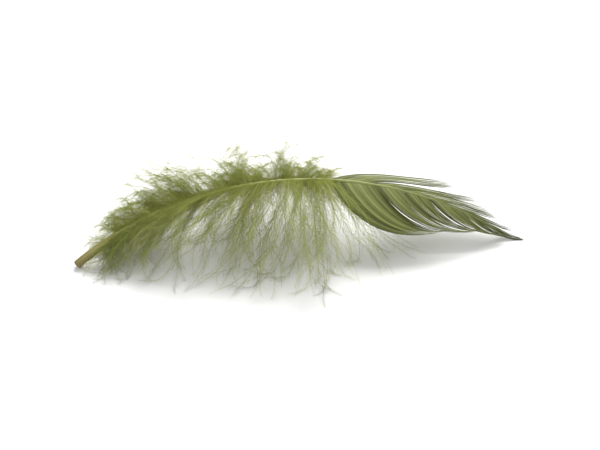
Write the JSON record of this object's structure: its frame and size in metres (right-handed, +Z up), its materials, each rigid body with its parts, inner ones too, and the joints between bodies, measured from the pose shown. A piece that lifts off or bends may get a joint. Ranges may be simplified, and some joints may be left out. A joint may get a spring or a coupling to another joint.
{
  "type": "dyed body feather",
  "caption": "Bowed olive-green body feather lying on a surface, with a bare quill, loose downy locks and a pointed vane.",
  "frame": {"origin": "middle of the footprint, on the surface that the feather lies on", "axes": "+X from the quill to the tip, +Z up, convex side up"},
  "size_m": [0.098, 0.0472, 0.019],
  "materials": {
    "feather": "satin keratin, dyed olive green",
    "vane": "satin, combed barbs, grey-green towards the tip",
    "down": "soft, matt, lets light through",
    "shaft": "smooth horn"
  },
  "bodies": {
    "root": {"feather": "feather"}
  },
  "joints": []
}
